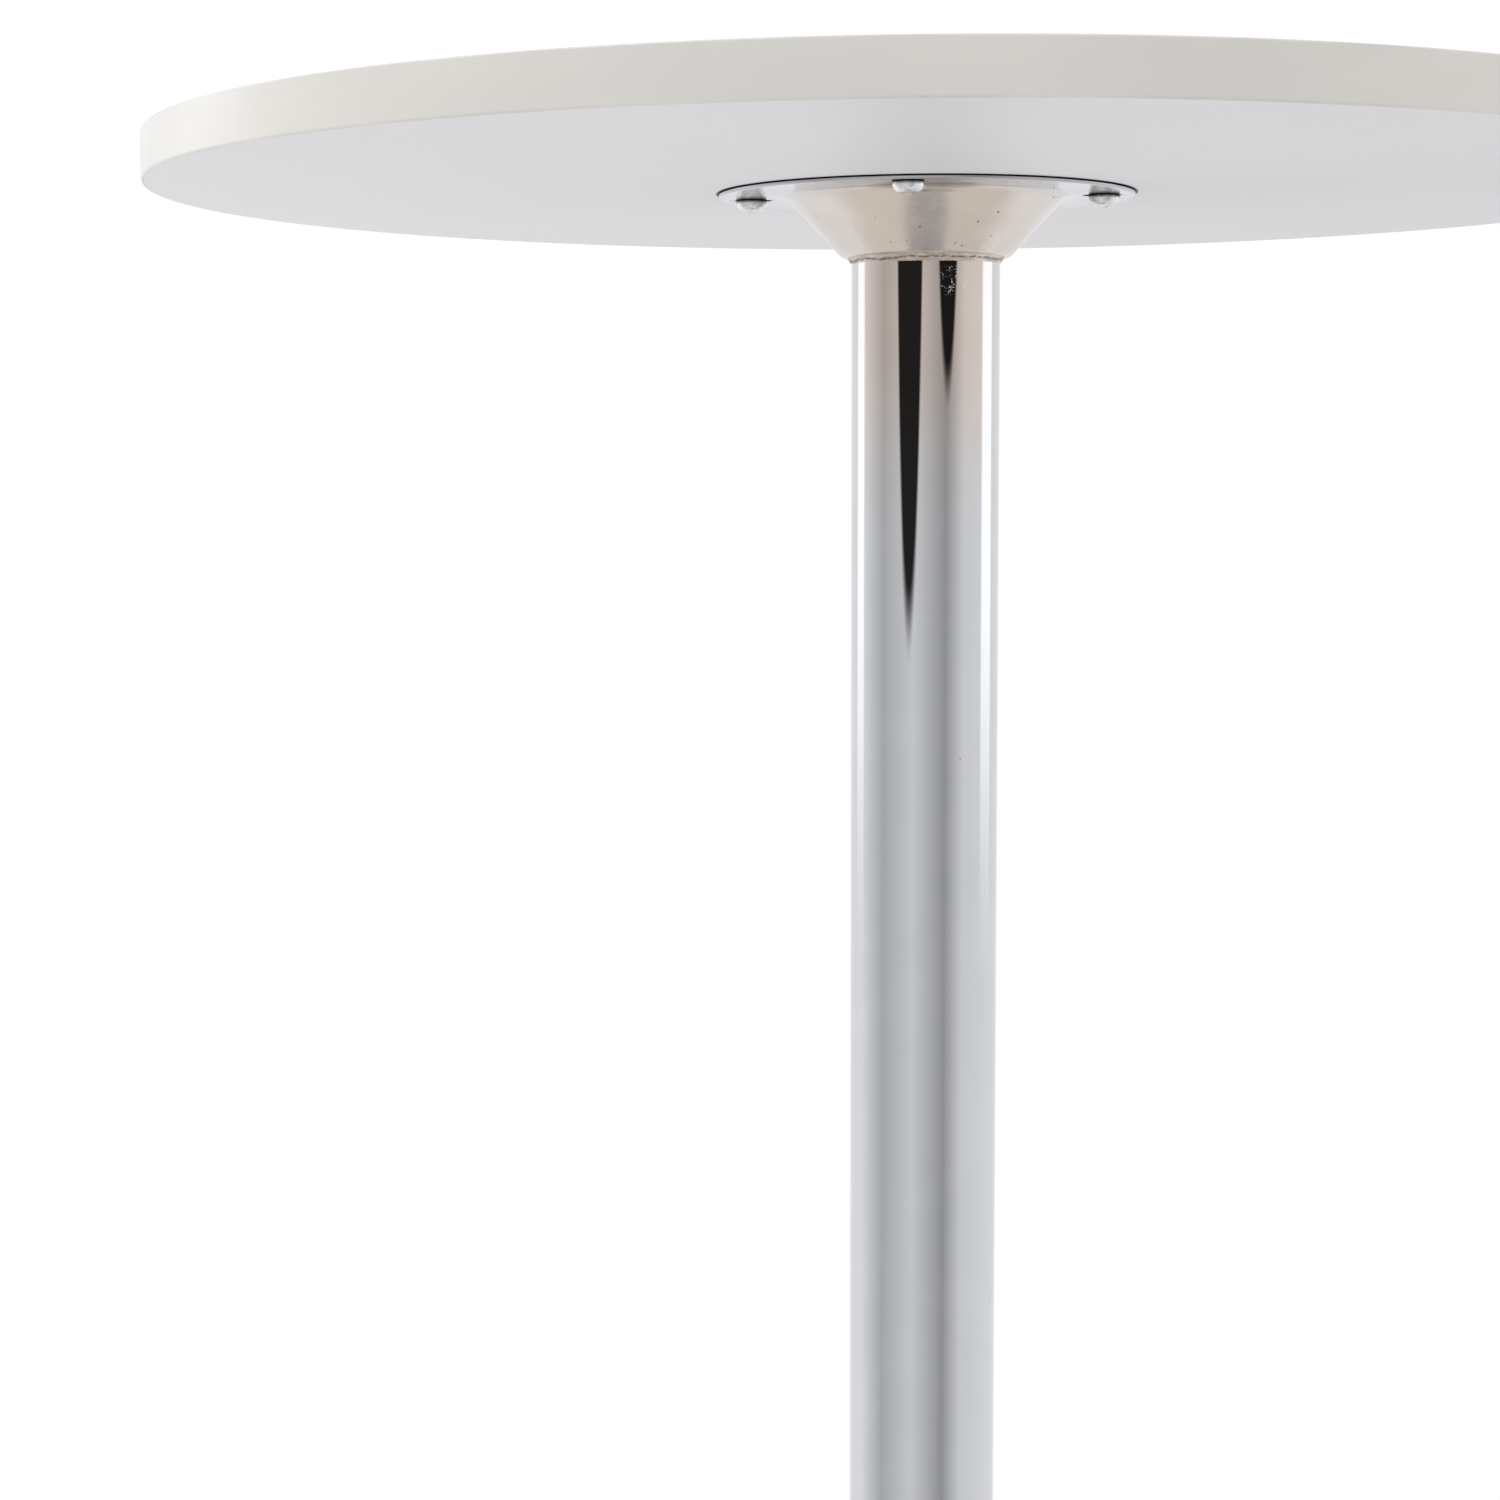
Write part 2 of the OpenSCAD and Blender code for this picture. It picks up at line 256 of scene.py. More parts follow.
def chrome_material(name, warm_from_z, warm_to_z, plate_low, plate_high):
    """Polished plate: drawn lines along the tube, fine scratches, and a warm tint towards warm_to_z."""
    made, t, shader, place = material(name)
    cloud = t.noise(place, 38.0, 3.0)
    warm = t.step(height_of(t, place), warm_from_z, warm_to_z)
    plate = t.mix(t.step(cloud, 0.35, 0.7), plate_low, plate_high)
    tinted = t.mix(t.step(cloud, 0.3, 0.7), (0.67, 0.635, 0.595, 1), (0.69, 0.665, 0.63, 1))
    colour = t.mix(t.math("MULTIPLY", warm, 0.4), plate, tinted)
    pit = pits(t, place, 75.0, 0, (0.90, 0.93), (0.015, 0.04))
    colour = t.mix(t.math("MULTIPLY", pit, 0.6), colour, PLATE_PIT)

    # Scuffs left by the welder's brush on the front, just under the weld
    threads = t.noise(t.stretch(place, (330, 330, 520)), 1.0, 0.0, 0.5, 0.8)
    thread = t.step(t.math("ABSOLUTE", t.math("SUBTRACT", threads, 0.5)), 0.008, 0.022, 1.0, 0.0)
    thread = t.math("MULTIPLY", thread, t.step(t.noise(place, 520.0, 1.0), 0.42, 0.55))
    near = t.step(t.distance(place, SCUFF_PLACE), *SCUFF_FADE, 1.0, 0.0)
    scuff = t.math("MULTIPLY", thread, near)
    colour = t.mix(t.math("MULTIPLY", scuff, 0.8), colour, SCUFFED)

    # Polish haze and hairline scratches
    haze = t.noise(t.stretch(place, (1, 1, 0.25)), 60.0, 4.0, 0.6)
    lines = t.noise(t.stretch(place, (1, 1, 0.02)), 1500.0, 2.0)
    rough = t.math("MULTIPLY_ADD", t.step(haze, 0.35, 0.8), 0.02, 0.012)
    rough = t.math("MULTIPLY_ADD", t.step(lines, 0.6, 0.8), 0.02, rough)
    rough = t.math("MULTIPLY_ADD", t.math("MAXIMUM", pit, scuff), 0.35, rough)

    # Waves left by drawing and polishing: long along the tube, short round it
    wave = t.noise(t.stretch(place, (1, 1, 0.05)), 55.0, 1.0)
    fine = t.noise(t.stretch(place, (1, 1, 0.01)), 700.0, 1.0)
    normal = t.bump(wave, 0.00010)
    normal = t.bump(fine, 0.000003, normal)
    normal = t.bump(t.math("MULTIPLY", pit, -1.0), 0.00012, normal)
    dress(t, shader, colour, rough, normal, 1.0)
    return made


def cone_mark_place(across, down):
    """Point on the front of the cone, from millimetres to the right and below the tabletop."""
    x, below = across * MM, down * MM
    cone_r = CONE_RIM_R + (UNDERSIDE_Z - CONE_RIM_Z - below) * CONE_SLOPE
    return (x, -math.sqrt(cone_r ** 2 - x ** 2), UNDERSIDE_Z - below)


def pressed_chrome_material():
    """The flange's pressing: tinted and blurrier than the pole, with stains, pits and polishing marks, and
    painted shade round the screws and in the gap at the rim.
    """
    made, t, shader, place = material("chrome_pressed")
    r, z = radius_of(t, place), height_of(t, place)
    cloud = t.noise(place, 30.0, 4.0, 0.6)
    cone = t.step(r, *CONE_START)
    plain = t.mix(t.step(cloud, 0.3, 0.7), (0.455, 0.455, 0.47, 1), (0.49, 0.49, 0.505, 1))
    tinted = t.mix(t.step(cloud, 0.32, 0.68), (0.68, 0.622, 0.575, 1), (0.75, 0.695, 0.64, 1))
    colour = t.mix(cone, plain, tinted)

    # Painted shadow and painted reflection of the screw heads round their seats, which lie on two axes once
    # the place is turned back
    back = math.radians(-SCREW_TURN)
    turned_back = t.node("ShaderNodeVectorRotate", {"Vector": place, "Angle": back}, rotation_type="Z_AXIS")
    seats = t.node("ShaderNodeVectorMath", {0: turned_back.outputs[0]}, operation="ABSOLUTE").outputs[0]
    x, y = t.part(seats, 0), t.part(seats, 1)
    seat_r = t.length(t.math("SUBTRACT", t.math("MAXIMUM", x, y), SCREW_R), t.math("MINIMUM", x, y))
    head_shade = t.math("MULTIPLY", t.step(seat_r, *HEAD_SHADE_FADE, 1.0, 0.0), t.step(cloud, 0.2, 0.55, 0.7, 1.0))
    colour = t.mix(t.math("MULTIPLY", head_shade, 0.9), colour, HEAD_SHADE)

    # Painted shade in the gap between the rim and the board, then the marks and pits
    high = t.step(z, UNDERSIDE_Z - GAP_FADE[0], UNDERSIDE_Z - GAP_FADE[1])
    colour = t.mix(t.math("MULTIPLY", high, t.step(r, *RIM_START)), colour, GAP_SHADE)
    for across, down, size, tone in CONE_MARKS:
        away = t.distance(place, cone_mark_place(across, down))
        away = t.math("MULTIPLY_ADD", t.noise(place, 900.0, 2.0), 0.0006, away)
        mark = t.step(away, (size * 0.5 + 0.3) * MM, (size * 0.5 + 0.5) * MM, 1.0, 0.0)
        colour = t.mix(t.math("MULTIPLY", mark, 0.85), colour, (tone, tone * 0.82, tone * 0.7, 1))
    pit = pits(t, place, 260.0, 1, (0.955, 0.965), (0.08, 0.2))
    colour = t.mix(t.math("MULTIPLY", pit, 0.8), colour, PRESSED_PIT)

    smear = t.noise(t.stretch(place, (1, 1, 2.0)), 45.0, 5.0, 0.65)
    rough = t.math("MULTIPLY_ADD", t.step(smear, 0.35, 0.75), 0.10, t.step(cone, 0.0, 1.0, 0.045, 0.13))
    rough = t.math("MULTIPLY_ADD", pit, 0.3, rough)
    normal = t.bump(t.noise(place, 90.0, 2.0), 0.00005)
    normal = t.bump(t.math("MULTIPLY", pit, -1.0), 0.00015, normal)
    dress(t, shader, colour, rough, normal, 1.0)
    return made


def laminate_material(name, base, shade, crevice_r):
    """Melamine laminate: faint mottling and wiping marks. Painted shade lies up to crevice_r and a little
    beyond.
    """
    made, t, shader, place = material(name)
    mottle = t.noise(place, 5.0, 5.0, 0.55)
    colour = t.mix(t.step(mottle, 0.25, 0.75), base, shade)
    # Painted shade under the flange and in the crevice just beyond its rim
    crevice_shade = t.step(radius_of(t, place), *(crevice_r + fade for fade in CREVICE_FADE), 1.0, 0.0)
    colour = t.mix(crevice_shade, colour, CREVICE_SHADE)
    smear = t.noise(t.stretch(place, (1.0, 0.35, 1.0)), 7.0, 3.0, 0.5)
    shader.inputs["Specular IOR Level"].default_value = 0.3
    pearl = t.noise(place, 260.0, 2.0, 0.5)
    dress(t, shader, colour, t.step(smear, 0.2, 0.8, 0.40, 0.47), t.bump(pearl, 0.000006))
    return made


def band_material():
    """Edge band: warmer than the laminate, rubbed along its edges, with a thin line of glue inside."""
    made, t, shader, place = material("edge_band")
    mottle = t.noise(t.stretch(place, (1, 1, 3.0)), 14.0, 4.0, 0.6)
    colour = t.mix(t.step(mottle, 0.3, 0.7), (0.81, 0.805, 0.77, 1), (0.785, 0.78, 0.745, 1))
    edge = t.math("ABSOLUTE", t.math("SUBTRACT", height_of(t, place), (TOP_Z + UNDERSIDE_Z) / 2))
    half = (TOP_Z - UNDERSIDE_Z) / 2
    rub = t.math("MULTIPLY", t.step(edge, half - RUB_FADE[0], half - RUB_FADE[1]), t.step(mottle, 0.4, 0.6))
    colour = t.mix(t.math("MULTIPLY", rub, 0.35), colour, RUBBED)
    inner_r = TOP_R - BAND_T
    glue = t.step(radius_of(t, place), *(inner_r + fade for fade in GLUE_FADE), 1.0, 0.0)
    colour = t.mix(t.math("MULTIPLY", glue, 0.7), colour, GLUE)
    grain = t.noise(t.stretch(place, (1, 1, 6.0)), 260.0, 3.0)
    dress(t, shader, colour, t.step(mottle, 0.2, 0.8, 0.20, 0.26), t.bump(grain, 0.00002))
    return made


def metal_material(name, light, dark, rough_low, rough_high, grain_scale, grain_depth, metallic=1.0):
    """Plated, bare or cast metal: blotches between two colours, uneven roughness and a grain."""
    made, t, shader, place = material(name)
    blotch = t.noise(place, grain_scale * 0.3, 4.0, 0.6)
    colour = t.mix(t.step(blotch, 0.35, 0.68), dark, light)
    rough = t.step(blotch, 0.3, 0.7, rough_high, rough_low)
    grain = t.noise(place, grain_scale, 3.0, 0.6)
    dress(t, shader, colour, rough, t.bump(grain, grain_depth), metallic)
    return made


def screw_material():
    """Bright zinc, with painted shade where the head meets the flange and in the recess."""
    made, t, shader, place = material("zinc_screw")
    blotch = t.noise(place, 260.0, 4.0, 0.6)
    colour = t.mix(t.step(blotch, 0.35, 0.65), (0.70, 0.70, 0.71, 1), (0.86, 0.86, 0.87, 1))
    # Painted shade on the head, darker towards the flange, with a blotchy edge
    depth = t.math("SUBTRACT", height_of(t, place), SCREW_HEAD_Z + 0.0008)
    recess_shade = t.step(t.math("MULTIPLY_ADD", blotch, 0.0016, depth), 0.0030, 0.0044)
    colour = t.mix(t.math("MULTIPLY", recess_shade, 0.93), colour, SCREW_SHADE)
    rough = t.step(blotch, 0.3, 0.7, 0.34, 0.2)
    dress(t, shader, colour, rough, t.bump(t.noise(place, 500.0, 3.0), 0.00003), 1.0)
    return made


def weld_material():
    """Plated-over weld: light crests along both edges, a patchy darker brown band in the hollow between, and
    dark specks.
    """
    made, t, shader, place = material("weld_bead")
    weld_noise = t.noise(place, 420.0, 5.0, 0.7)
    patch = t.noise(t.stretch(place, (1, 1, 2.5)), 130.0, 3.0, 0.6)
    waver = t.math("MULTIPLY_ADD", t.noise(place, 90.0, 2.0), 0.003, height_of(t, place))
    # A patchy darker band along the hollow between the crests
    core = t.window(waver, HOLLOW_Z - HOLLOW_HALF, HOLLOW_Z + HOLLOW_HALF, HOLLOW_HALF)
    dark = t.math("MULTIPLY", core, t.step(weld_noise, 0.36, 0.56))
    speck = t.step(weld_noise, 0.60, 0.70)
    colour = t.mix(t.step(patch, 0.35, 0.7), (0.60, 0.53, 0.48, 1), (0.80, 0.73, 0.67, 1))
    colour = t.mix(t.math("MAXIMUM", dark, speck), colour, WELD_DARK)
    dress(t, shader, colour, t.step(weld_noise, 0.35, 0.65, 0.55, 0.24), t.bump(weld_noise, 0.0003), 1.0)
    return made


def soft_material(name, colour, dust, rough_low, rough_high, grain_scale, grain_depth):
    """Rubber, moulded plastic or board: grain, uneven sheen and a little dust."""
    made, t, shader, place = material(name)
    patch = t.noise(place, grain_scale * 0.06, 4.0, 0.6)
    dusty = t.mix(t.step(patch, 0.5, 0.85), colour, dust)
    grain = t.noise(place, grain_scale, 2.0, 0.6)
    dress(t, shader, dusty, t.step(patch, 0.3, 0.8, rough_low, rough_high), t.bump(grain, grain_depth))
    return made


MATERIALS = {
    "chrome": chrome_material("chrome_pole", UNDERSIDE_Z - 0.16, UNDERSIDE_Z - 0.04,
                              (0.655, 0.658, 0.664, 1), (0.675, 0.675, 0.678, 1)),
    # The base lies below the tint's heights, so it has none
    "chrome_base": chrome_material("chrome_base", TOP_Z, TOP_Z + 1.0,
                                   (0.50, 0.50, 0.51, 1), (0.53, 0.53, 0.535, 1)),
    "chrome_pressed": pressed_chrome_material(),
    "underside": laminate_material("laminate_underside",
                                   (0.785, 0.785, 0.80, 1), (0.77, 0.77, 0.787, 1), FLANGE_R),
    # With crevice_r 0 the painted shade falls on the middle of the top face, as a dark dot about 2 mm across
    "top": laminate_material("laminate_top", (0.80, 0.80, 0.81, 1), (0.785, 0.785, 0.795, 1), 0.0),
    "edge_band": band_material(),
    "zinc": metal_material("zinc_plate", (0.80, 0.81, 0.83, 1), (0.60, 0.61, 0.63, 1),
                           0.16, 0.34, 500.0, 0.00003),
    "screw": screw_material(),
    "weld": weld_material(),
    "steel": metal_material("bare_steel", (0.42, 0.42, 0.43, 1), (0.25, 0.24, 0.24, 1),
                            0.3, 0.5, 300.0, 0.00008),
    "cast": metal_material("cast_iron", (0.055, 0.055, 0.06, 1), (0.03, 0.03, 0.032, 1),
                           0.45, 0.7, 320.0, 0.0004, 0.0),
    "brass": metal_material("turned_brass", (0.83, 0.66, 0.36, 1), (0.62, 0.46, 0.22, 1),
                            0.2, 0.4, 400.0, 0.00003),
    "rubber": soft_material("black_rubber", (0.02, 0.02, 0.021, 1), (0.07, 0.068, 0.065, 1),
                            0.5, 0.75, 700.0, 0.00005),
    "plastic": soft_material("black_plastic", (0.028, 0.028, 0.03, 1), (0.08, 0.08, 0.08, 1),
                             0.35, 0.6, 900.0, 0.00003),
    "board": soft_material("fibreboard", (0.50, 0.38, 0.25, 1), (0.60, 0.48, 0.34, 1),
                           0.8, 0.95, 1200.0, 0.0001),
}


# ---- Mesh helpers ----

# Vertices closer than MERGE become one, and points closer to the axis than ON_AXIS lie on it
MERGE, ON_AXIS = 1e-7, 1e-9


def arc(centre, radius, start, end, steps=8):
    """Points of an arc from start to end degrees, as (radius, height) pairs."""
    turns = [math.radians(start + (end - start) * i / steps) for i in range(steps + 1)]
    return [(centre[0] + radius * math.cos(a), centre[1] + radius * math.sin(a)) for a in turns]


def finish_mesh(name, bm, *, replaces, look, body="table", sharp=32):
    """Turns a bmesh into a piece with a material and a body, and hides the CAD nodes that it stands for."""
    bmesh.ops.remove_doubles(bm, verts=bm.verts, dist=MERGE)
    bmesh.ops.recalc_face_normals(bm, faces=bm.faces)
    mesh = bpy.data.meshes.new(name)
    bm.to_mesh(mesh)
    bm.free()
    mesh.shade_smooth()
    mesh.set_sharp_from_angle(angle=math.radians(sharp))
    piece = bpy.data.objects.new(name, mesh)
    bpy.context.scene.collection.objects.link(piece)
    mesh.materials.append(MATERIALS[look])
    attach(piece, body)
    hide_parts(*replaces)


def lathe(bm, profile, segments=192, centre=(0, 0), surface=None):
    """Revolves a closed outline of (radius, height) pairs about a vertical line. surface may move points."""
    rings = []
    for r, z in profile:
        ring = []
        for i in range(1 if r < ON_AXIS else segments):
            turn = 2 * math.pi * i / segments
            co = Vector((r * math.cos(turn), r * math.sin(turn), z))
            if surface:
                co = surface(co, turn)
            ring.append(bm.verts.new(co + Vector((*centre, 0))))
        rings.append(ring)
    for a, b in zip(rings, rings[1:] + rings[:1]):
        for i in range(segments):
            corners = [a[i % len(a)], a[(i + 1) % len(a)], b[(i + 1) % len(b)], b[i % len(b)]]
            corners = [v for k, v in enumerate(corners) if v not in corners[:k]]
            if len(corners) > 2:
                bm.faces.new(corners)


def flat_ring(bm, outer, loops, z):
    """Fills the flat area at height z between an outer loop of points and the loops inside it."""
    edges = []
    for loop in [outer, *loops]:
        verts = [bm.verts.new((x, y, z)) for x, y in loop]
        edges += [bm.edges.new(pair) for pair in zip(verts, verts[1:] + verts[:1])]
    bmesh.ops.triangle_fill(bm, edges=edges, use_beauty=True)


def join_rings(bm, low, high):
    """Faces between two rings of as many vertices."""
    for i in range(len(low)):
        k = (i + 1) % len(low)
        bm.faces.new((low[i], low[k], high[k], high[i]))


def walls(bm, low_loop, z0, high_loop, z1):
    """Wall from one loop of points at z0 to another with as many points at z1."""
    low = [bm.verts.new((x, y, z0)) for x, y in low_loop]
    high = [bm.verts.new((x, y, z1)) for x, y in high_loop]
    join_rings(bm, low, high)


def skirt(bm, outline, count):
    """Revolves an open outline of (radius, height) pairs, one wall for each of its lengths."""
    for (r0, z0), (r1, z1) in zip(outline, outline[1:]):
        walls(bm, circle(r0, count), z0, circle(r1, count), z1)


def circle(radius, count, centre=(0, 0)):
    turns = [2 * math.pi * i / count for i in range(count)]
    return [(centre[0] + radius * math.cos(a), centre[1] + radius * math.sin(a)) for a in turns]


def turned(points, degrees, shift):
    """Points moved along the first axis by shift, then turned about the table's axis."""
    c, s = math.cos(math.radians(degrees)), math.sin(math.radians(degrees))
    return [((x + shift) * c - y * s, (x + shift) * s + y * c) for x, y in points]


# ---- Tabletop ----

# Corners of a large round piece, and the ease of the joint between laminate and edge band
ROUND = 256
JOINT_EASE = 0.12 * MM


def make_edge_band():
    soft = 0.8 * MM
    inner = TOP_R - BAND_T
    lip = JOINT_EASE
    profile = (
        [(inner, UNDERSIDE_Z + lip), (inner + lip, UNDERSIDE_Z)]
        + arc((TOP_R - soft, UNDERSIDE_Z + soft), soft, -90, 0)
        + arc((TOP_R - soft, TOP_Z - soft), soft, 0, 90)
        + [(inner + lip, TOP_Z), (inner, TOP_Z - lip)]
    )
    bm = bmesh.new()
    lathe(bm, profile, 2 * ROUND)
    finish_mesh("edge_band_ring", bm, replaces=["edge_band"], look="edge_band", sharp=50)


def make_laminate(name, low_z, high_z, look, node, holes):
    """A laminate disc with its rim eased, so that a fine joint line shows against the edge band."""
    rim = TOP_R - BAND_T
    ease = JOINT_EASE
    bm = bmesh.new()
    outer = circle(rim - ease, 2 * ROUND)
    for z in (low_z, high_z):
        flat_ring(bm, outer, holes, z)
    for hole in holes:
        walls(bm, hole, low_z, hole, high_z)
    steps = [(rim - ease, low_z), (rim, low_z + ease), (rim, high_z - ease), (rim - ease, high_z)]
    skirt(bm, steps, 2 * ROUND)
    finish_mesh(name, bm, replaces=[node], look=look)


# ---- Top flange, its screws and its weld ----

FLANGE_T = 1.5 * MM
FLANGE_FACE_Z = UNDERSIDE_Z - FLANGE_T
BEND_R = 8 * MM
BEND_TURN = 90 - CONE_ANGLE
INSERT_R = 5 * MM


def cone_bend_centre():
    """Centre of the bend from flat ring to cone, as the CAD has it."""
    drop = BEND_R * (1 - math.cos(math.radians(BEND_TURN)))
    end_r = CONE_RIM_R + (FLANGE_FACE_Z - drop - CONE_RIM_Z) * CONE_SLOPE
    return (end_r + BEND_R * math.sin(math.radians(BEND_TURN)), FLANGE_FACE_Z - BEND_R)


def slot_loop(degrees):
    """Outline of one radial slot."""
    half_w, half_l = 3.5 * MM, 4 * MM
    points = arc((half_l, 0), half_w, -90, 90, 12) + arc((-half_l, 0), half_w, 90, 270, 12)
    return turned(points, degrees, SCREW_R - 0.75 * MM)


def make_flange():
    centre = cone_bend_centre()
    inner_rim_r = CONE_RIM_R - FLANGE_T / math.cos(math.radians(CONE_ANGLE))
    # The rim droops a little, which leaves a dark gap under the board all round
    roll, gap, droop, flat_r = 0.9 * MM, 0.42 * MM, 0.15 * MM, FLANGE_R - 4.5 * MM
    slots = [slot_loop(SCREW_TURN + 90 * i) for i in range(4)]
    bm = bmesh.new()
    flat_in = circle(centre[0], ROUND)
    for z in (FLANGE_FACE_Z, UNDERSIDE_Z):
        flat_ring(bm, circle(flat_r, ROUND), [flat_in, *slots], z)
    for slot in slots:
        walls(bm, slot, FLANGE_FACE_Z, slot, UNDERSIDE_Z)
    rim = [(flat_r, FLANGE_FACE_Z), (flat_r + 2 * MM, FLANGE_FACE_Z - 0.1 * MM)]
    rim += arc((FLANGE_R - roll, FLANGE_FACE_Z - droop + roll), roll, -90, 0, 6)
    rim += [(FLANGE_R, UNDERSIDE_Z - gap - 0.15 * MM), (FLANGE_R - 0.15 * MM, UNDERSIDE_Z - gap)]
    rim += [(flat_r, UNDERSIDE_Z)]
    cone = arc(centre, BEND_R, 90, 90 + BEND_TURN, 14)
    # The weld has rounded the cone's lower rim
    slope = math.radians(CONE_ANGLE)
    soft = 3.5 * MM
    soft_r = CONE_RIM_R - soft * (1 - math.sin(slope)) / math.cos(slope)
    cone += arc((soft_r, CONE_RIM_Z + soft), soft, -CONE_ANGLE, -90, 6)
    cone += [(inner_rim_r, CONE_RIM_Z)]
    cone += arc(centre, BEND_R + FLANGE_T, 90 + BEND_TURN, 90, 14)
    skirt(bm, rim, ROUND)
    skirt(bm, cone, ROUND)
    finish_mesh("flange_pressing", bm, replaces=["top_flange"], look="chrome_pressed", sharp=40)


def boolean_cut(bm, cutter):
    """Cuts one bmesh out of another and returns the result."""
    made = []
    for source in (bm, cutter):
        mesh = bpy.data.meshes.new("cut")
        bmesh.ops.recalc_face_normals(source, faces=source.faces)
        source.to_mesh(mesh)
        source.free()
        obj = bpy.data.objects.new("cut", mesh)
        bpy.context.scene.collection.objects.link(obj)
        made.append(obj)
    body, tool = made
    modifier = body.modifiers.new("cut", "BOOLEAN")
    modifier.operation = "DIFFERENCE"
    modifier.solver = "EXACT"
    modifier.object = tool
    modifier.use_self = True
    bpy.context.view_layer.update()
    graph = bpy.context.evaluated_depsgraph_get()
    result = bmesh.new()
    result.from_mesh(bpy.data.meshes.new_from_object(body.evaluated_get(graph)))
    for obj in made:
        bpy.data.objects.remove(obj)
    return result


def cross_cutter(z, turn):
    """Tapered cross that cuts a screw's drive recess, open at z."""
    cutter = bmesh.new()
    for arm in (0, 90):
        ring = []
        for height, half_l, half_w in ((-0.6, 3.5, 0.75), (2.5, 1.3, 0.45)):
            corners = [(-half_l, -half_w), (half_l, -half_w), (half_l, half_w), (-half_l, half_w)]
            spun = turned([(x * MM, y * MM) for x, y in corners], arm + turn, 0)
            ring.append([cutter.verts.new((x, y, z + height * MM)) for x, y in spun])
        low, high = ring
        cutter.faces.new(low[::-1])
        cutter.faces.new(high)
        join_rings(cutter, low, high)
    return cutter


def thread_surface(pitch, depth, z_from, z_to):
    """A surface function that cuts a helical groove between two heights."""
    def move(co, turn):
        if not z_from < co.z < z_to:
            return co
        phase = (co.z / pitch - turn / (2 * math.pi)) % 1.0
        crest = abs(2 * phase - 1)
        r = math.hypot(co.x, co.y)
        shrink = (r - depth * crest) / r
        return Vector((co.x * shrink, co.y * shrink, co.z))
    return move


def screw_profile():
    """Pan head screw's outline about its own axis, head down."""
    head_r = 6 * MM
    side_z = FLANGE_FACE_Z - 0.8 * MM
    crown_r = 2.2 * MM
    drop = side_z - SCREW_HEAD_Z - 0.15 * MM
    shank_r = 2.9 * MM
    head = [(0, SCREW_HEAD_Z), (1.6 * MM, SCREW_HEAD_Z + 0.03 * MM)]
    for angle in range(-90, 1, 9):
        turn = math.radians(angle)
        head.append((crown_r + (head_r - crown_r) * math.cos(turn), side_z + drop * math.sin(turn)))
    ease = 0.25 * MM
    head += [(head_r, FLANGE_FACE_Z - ease), (head_r - ease, FLANGE_FACE_Z), (shank_r, FLANGE_FACE_Z)]
    rings = 96
    start = FLANGE_FACE_Z + 0.4 * MM
    length = SCREW_TIP_Z - 0.5 * MM - start
    shank = [(shank_r, start + length * i / rings) for i in range(rings + 1)]
    return head + shank + [(shank_r - 0.6 * MM, SCREW_TIP_Z), (0, SCREW_TIP_Z)]


def make_screws():
    # Each screw stopped at another turn of its recess
    first_recess, next_recess = 23, 31
    whole = bmesh.new()
    for i in range(4):
        bm = bmesh.new()
        thread = thread_surface(1.0 * MM, 0.5 * MM, FLANGE_FACE_Z + 1 * MM, SCREW_TIP_Z - 0.3 * MM)
        lathe(bm, screw_profile(), 48, surface=thread)
        bmesh.ops.remove_doubles(bm, verts=bm.verts, dist=MERGE)
        bm = boolean_cut(bm, cross_cutter(SCREW_HEAD_Z, first_recess + next_recess * i))
        turn = math.radians(SCREW_TURN + 90 * i)
        bmesh.ops.translate(bm, verts=bm.verts, vec=(SCREW_R * math.cos(turn), SCREW_R * math.sin(turn), 0))
        mesh = bpy.data.meshes.new("one_screw")
        bm.to_mesh(mesh)
        bm.free()
        whole.from_mesh(mesh)
    finish_mesh("pan_head_screws", whole, replaces=["flange_screws"], look="screw", sharp=38)


def make_weld():
    """Ragged bead: a crest on the cone's rim, a pitted valley and a crest on the pole."""
    # Radius and height from the tabletop in millimetres, and how far each point may stray
    outline = [
        (33.0, -23.9, 0.0), (32.6, -24.5, 0.3), (31.9, -24.9, 0.6), (31.2, -25.3, 0.8), (30.7, -25.8, 0.9),
        (30.4, -26.3, 0.8), (30.0, -26.8, 0.7), (29.6, -27.2, 0.5), (29.1, -27.5, 0.3), (28.8, -27.8, 0.0),
        (28.8, -25.4, 0.0), (30.0, -24.2, 0.0), (32.0, -23.7, 0.0),
    ]
    segments = 420
    bm = bmesh.new()
    rings = []
    for i in range(segments):
        turn = 2 * math.pi * i / segments
        c, s = math.cos(turn), math.sin(turn)
        wander = noise.noise(Vector((c * 4, s * 4, 3.1))) * 0.45
        thin = 1.2 * c * c  # the bead is thinner at the sides than at the front and back
        ring = []
        for k, (r, z, loose) in enumerate(outline):
            seed = Vector((c * 30, s * 30, k * 0.9))
            lump = noise.noise(seed) * 0.28 + noise.noise(seed * 2.7) * 0.16
            r_mm = r + loose * (lump + 0.05 * math.sin(turn * 96 + k * 0.7))
            sag = wander + noise.noise(seed * 1.7 + Vector((9, 2, 5))) * 0.3
            z_mm = z + min(1, loose * 1.5) * thin + loose * sag
            ring.append(bm.verts.new((r_mm * MM * c, r_mm * MM * s, UNDERSIDE_Z + z_mm * MM)))
        rings.append(ring)
    for a, b in zip(rings, rings[1:] + rings[:1]):
        join_rings(bm, a, b)
    finish_mesh("weld_bead", bm, replaces=["flange_weld"], look="weld", sharp=80)


# ---- Pole ----

